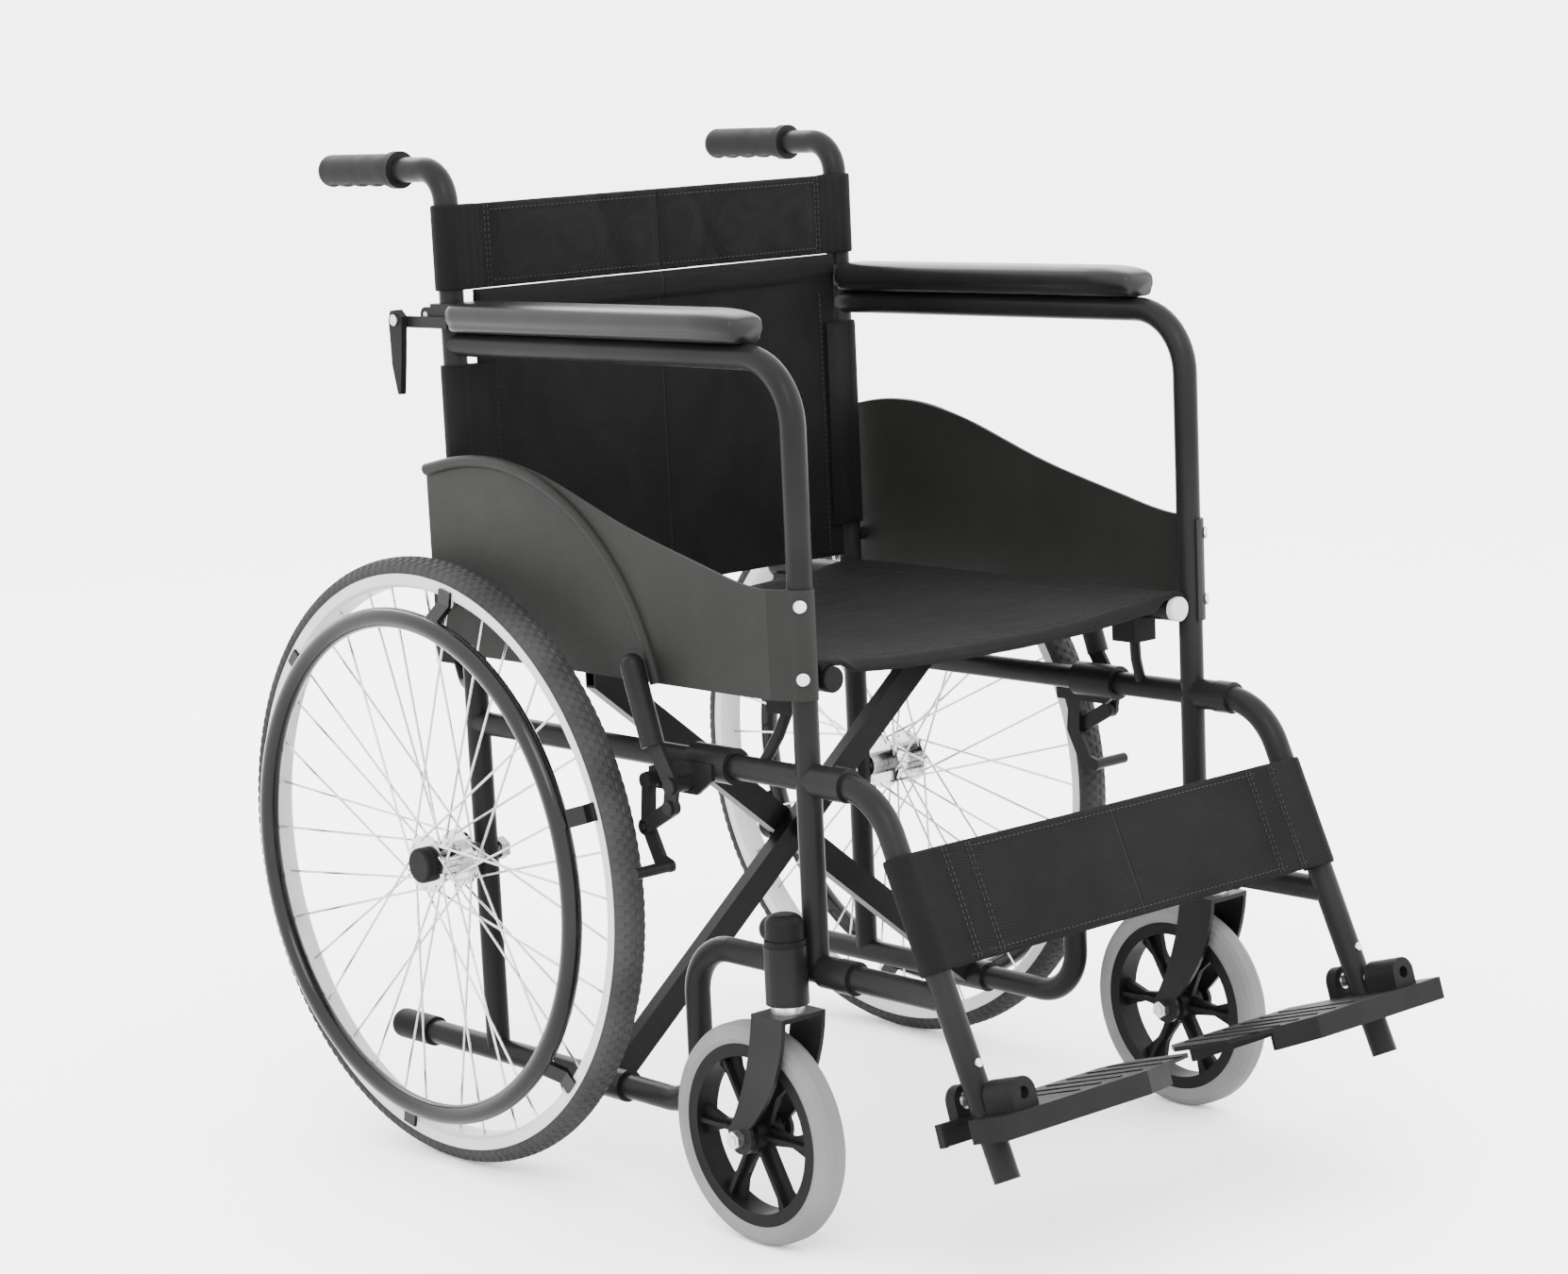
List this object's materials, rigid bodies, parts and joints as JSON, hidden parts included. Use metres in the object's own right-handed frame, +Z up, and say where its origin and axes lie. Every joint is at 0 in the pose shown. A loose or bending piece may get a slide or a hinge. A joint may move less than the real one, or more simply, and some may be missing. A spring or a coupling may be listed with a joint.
{
  "type": "folding manual wheelchair",
  "caption": "Folding steel-frame manual wheelchair with large push wheels, swivel front casters, sling seat and back, padded armrests and flip-up footplates.",
  "frame": {"origin": "on the floor under the middle of the chair's length and width", "axes": "+Z up, +Y towards the rear (the chair faces -Y), +X towards the occupant's left"},
  "size_m": [0.647, 0.9643, 0.9025],
  "materials": {
    "frame_paint": "satin black powder coat",
    "brace_paint": "satin black powder coat",
    "black_plastic": "moulded, fine texture",
    "pad_skin": "smooth moulded skin, soft gloss",
    "panel_plastic": "dark grey moulded sheet",
    "zinc": "bright zinc",
    "axle_steel": "zinc plated",
    "tyre_rubber": "dark grey with small block tread",
    "rim_metal": "light grey",
    "hub_chrome": "polished",
    "handrim_paint": "gloss black",
    "caster_rubber": "solid grey tyre",
    "grip_rubber": "moulded black",
    "cloth": "black woven nylon",
    "cap_grey": "light grey"
  },
  "bodies": {
    "frame_right": {"side_frame_right": "frame_paint", "end_caps_right": "black_plastic", "arm_pad_right": "pad_skin", "side_panel_right": "panel_plastic", "frame_screws_right": "zinc", "hanger_right": "frame_paint", "lock_bracket_right": "frame_paint", "rear_axle_right": "axle_steel"},
    "frame_left": {"side_frame_left": "frame_paint", "end_caps_left": "black_plastic", "arm_pad_left": "pad_skin", "side_panel_left": "panel_plastic", "frame_screws_left": "zinc", "hanger_left": "frame_paint", "lock_bracket_left": "frame_paint", "rear_axle_left": "axle_steel"},
    "brace_a": {"cross_arm_right": "brace_paint", "rail_cap_left": "cap_grey", "pivot_bolt": "black_plastic"},
    "brace_b": {"cross_arm_left": "brace_paint", "rail_cap_right": "black_plastic", "seat_sling": "cloth"},
    "rear_wheel_right": {"rear_tyre_right": "tyre_rubber", "rear_rim_right": "rim_metal", "hub_and_spokes_right": "hub_chrome", "hub_cap_right": "black_plastic", "handrim_right": "handrim_paint"},
    "caster_fork_right": {"caster_fork_right": "frame_paint", "caster_hardware_right": "zinc"},
    "caster_wheel_right": {"caster_core_right": "black_plastic", "caster_tyre_right": "caster_rubber"},
    "footplate_right": {"footplate_right": "black_plastic"},
    "lock_lever_right": {"lock_lever_right": "frame_paint"},
    "lock_arm_right": {"lock_arm_right": "frame_paint"},
    "lock_link_right": {"lock_link_right": "frame_paint"},
    "handle_right": {"upper_post_right": "frame_paint", "handle_grip_right": "grip_rubber"},
    "release_lever_right": {"release_lever_right": "black_plastic"},
    "back_band_right": {"back_band_right": "cloth"},
    "back_panel_right": {"back_panel_right": "cloth"},
    "calf_strap_right": {"calf_strap_right": "cloth"},
    "rear_wheel_left": {"rear_tyre_left": "tyre_rubber", "rear_rim_left": "rim_metal", "hub_and_spokes_left": "hub_chrome", "hub_cap_left": "black_plastic", "handrim_left": "handrim_paint"},
    "caster_fork_left": {"caster_fork_left": "frame_paint", "caster_hardware_left": "zinc"},
    "caster_wheel_left": {"caster_core_left": "black_plastic", "caster_tyre_left": "caster_rubber"},
    "footplate_left": {"footplate_left": "black_plastic"},
    "lock_lever_left": {"lock_lever_left": "frame_paint"},
    "lock_arm_left": {"lock_arm_left": "frame_paint"},
    "lock_link_left": {"lock_link_left": "frame_paint"},
    "handle_left": {"upper_post_left": "frame_paint", "handle_grip_left": "grip_rubber"},
    "release_lever_left": {"release_lever_left": "black_plastic"},
    "back_band_left": {"back_band_left": "cloth"},
    "back_panel_left": {"back_panel_left": "cloth"},
    "calf_strap_left": {"calf_strap_left": "cloth"}
  },
  "joints": [
    {"name": "fold", "type": "hinge", "parent": "frame_right", "child": "brace_a", "pos_m": [-0.232, 0.045, 0.09], "axis": [0, -1, 0], "range_deg": [0, 34.6]},
    {"name": "brace_cross", "type": "hinge", "parent": "brace_a", "child": "brace_b", "pos_m": [0, 0.0525, 0.278], "axis": [0, -1, 0], "range_deg": [-69.2, 0], "deforming": ["seat_sling"]},
    {"name": "frame_fold", "type": "hinge", "parent": "brace_b", "child": "frame_left", "pos_m": [0.232, 0.06, 0.09], "axis": [0, -1, 0], "range_deg": [0, 34.6]},
    {"name": "rear_wheel_spin_right", "type": "hinge", "parent": "frame_right", "child": "rear_wheel_right", "pos_m": [-0.284, 0.207, 0.276], "axis": [1, 0, 0], "continuous": true},
    {"name": "caster_swivel_right", "type": "hinge", "parent": "frame_right", "child": "caster_fork_right", "pos_m": [-0.2604, -0.227, 0.206], "axis": [0, 0, 1], "continuous": true},
    {"name": "caster_spin_right", "type": "hinge", "parent": "caster_fork_right", "child": "caster_wheel_right", "pos_m": [-0.2604, -0.185, 0.095], "axis": [1, 0, 0], "continuous": true},
    {"name": "footplate_flip_right", "type": "hinge", "parent": "frame_right", "child": "footplate_right", "pos_m": [-0.232, -0.416, 0.162], "axis": [0, -0.9613, 0.2756], "range_deg": [0, 90]},
    {"name": "lock_lever_right", "type": "hinge", "parent": "frame_right", "child": "lock_lever_right", "pos_m": [-0.268, -0.104, 0.38], "axis": [1, 0, 0], "range_deg": [0, 26]},
    {"name": "lock_arm_right", "type": "hinge", "parent": "frame_right", "child": "lock_arm_right", "pos_m": [-0.26, -0.064, 0.379], "axis": [1, 0, 0], "range_deg": [0, 10.2]},
    {"name": "lock_link_right", "type": "hinge", "parent": "lock_lever_right", "child": "lock_link_right", "pos_m": [-0.264, -0.1, 0.361], "axis": [1, 0, 0], "range_deg": [-30.5, 0]},
    {"name": "back_fold_right", "type": "hinge", "parent": "frame_right", "child": "handle_right", "pos_m": [-0.232, 0.23, 0.76], "axis": [-1, 0, 0], "range_deg": [0, 110]},
    {"name": "release_lever_right", "type": "hinge", "parent": "frame_right", "child": "release_lever_right", "pos_m": [-0.254, 0.259, 0.756], "axis": [1, 0, 0], "range_deg": [0, 25], "stiffness_Nm_per_rad": 0.1, "springref_deg": -20.05},
    {"name": "band_fold_right", "type": "hinge", "parent": "handle_right", "child": "back_band_right", "pos_m": [-0.232, 0.207, 0.815], "axis": [0, 0, 1], "range_deg": [0, 90], "deforming": ["back_band_right"]},
    {"name": "panel_fold_right", "type": "hinge", "parent": "frame_right", "child": "back_panel_right", "pos_m": [-0.232, 0.207, 0.6], "axis": [0, 0, 1], "range_deg": [0, 90], "deforming": ["back_panel_right"]},
    {"name": "strap_fold_right", "type": "hinge", "parent": "frame_right", "child": "calf_strap_right", "pos_m": [-0.232, -0.37455, 0.256], "axis": [0, 0.4067, 0.9135], "range_deg": [0, 90], "deforming": ["calf_strap_right"]},
    {"name": "rear_wheel_spin_left", "type": "hinge", "parent": "frame_left", "child": "rear_wheel_left", "pos_m": [0.284, 0.207, 0.276], "axis": [1, 0, 0], "continuous": true},
    {"name": "caster_swivel_left", "type": "hinge", "parent": "frame_left", "child": "caster_fork_left", "pos_m": [0.2604, -0.227, 0.206], "axis": [0, 0, 1], "continuous": true},
    {"name": "caster_spin_left", "type": "hinge", "parent": "caster_fork_left", "child": "caster_wheel_left", "pos_m": [0.2604, -0.185, 0.095], "axis": [1, 0, 0], "continuous": true},
    {"name": "footplate_flip_left", "type": "hinge", "parent": "frame_left", "child": "footplate_left", "pos_m": [0.232, -0.416, 0.162], "axis": [0, 0.9613, -0.2756], "range_deg": [0, 90]},
    {"name": "lock_lever_left", "type": "hinge", "parent": "frame_left", "child": "lock_lever_left", "pos_m": [0.268, -0.104, 0.38], "axis": [1, 0, 0], "range_deg": [0, 26]},
    {"name": "lock_arm_left", "type": "hinge", "parent": "frame_left", "child": "lock_arm_left", "pos_m": [0.26, -0.064, 0.379], "axis": [1, 0, 0], "range_deg": [0, 10.2]},
    {"name": "lock_link_left", "type": "hinge", "parent": "lock_lever_left", "child": "lock_link_left", "pos_m": [0.264, -0.1, 0.361], "axis": [1, 0, 0], "range_deg": [-30.5, 0]},
    {"name": "back_fold_left", "type": "hinge", "parent": "frame_left", "child": "handle_left", "pos_m": [0.232, 0.23, 0.76], "axis": [-1, 0, 0], "range_deg": [0, 110]},
    {"name": "release_lever_left", "type": "hinge", "parent": "frame_left", "child": "release_lever_left", "pos_m": [0.254, 0.259, 0.756], "axis": [1, 0, 0], "range_deg": [0, 25], "stiffness_Nm_per_rad": 0.1, "springref_deg": -20.05},
    {"name": "band_fold_left", "type": "hinge", "parent": "handle_left", "child": "back_band_left", "pos_m": [0.232, 0.207, 0.815], "axis": [0, 0, -1], "range_deg": [0, 90], "deforming": ["back_band_left"]},
    {"name": "panel_fold_left", "type": "hinge", "parent": "frame_left", "child": "back_panel_left", "pos_m": [0.232, 0.207, 0.6], "axis": [0, 0, -1], "range_deg": [0, 90], "deforming": ["back_panel_left"]},
    {"name": "strap_fold_left", "type": "hinge", "parent": "frame_left", "child": "calf_strap_left", "pos_m": [0.232, -0.37455, 0.256], "axis": [0, -0.4067, -0.9135], "range_deg": [0, 90], "deforming": ["calf_strap_left"]}
  ],
  "couplings": [
    {"joint": "brace_cross", "follows": "fold", "ratio": -2},
    {"joint": "frame_fold", "follows": "fold", "ratio": 1},
    {"joint": "footplate_flip_right", "follows": "fold", "ratio": 2.6012},
    {"joint": "lock_arm_right", "follows": "lock_lever_right", "ratio": 0.385},
    {"joint": "lock_link_right", "follows": "lock_lever_right", "ratio": -1.12},
    {"joint": "band_fold_right", "follows": "fold", "ratio": 2.6012},
    {"joint": "panel_fold_right", "follows": "fold", "ratio": 2.6012},
    {"joint": "strap_fold_right", "follows": "fold", "ratio": 2.6012},
    {"joint": "footplate_flip_left", "follows": "fold", "ratio": 2.6012},
    {"joint": "lock_arm_left", "follows": "lock_lever_left", "ratio": 0.385},
    {"joint": "lock_link_left", "follows": "lock_lever_left", "ratio": -1.12},
    {"joint": "band_fold_left", "follows": "fold", "ratio": 2.6012},
    {"joint": "panel_fold_left", "follows": "fold", "ratio": 2.6012},
    {"joint": "strap_fold_left", "follows": "fold", "ratio": 2.6012},
    {"joint": "back_fold_left", "follows": "back_fold_right", "ratio": 1}
  ]
}
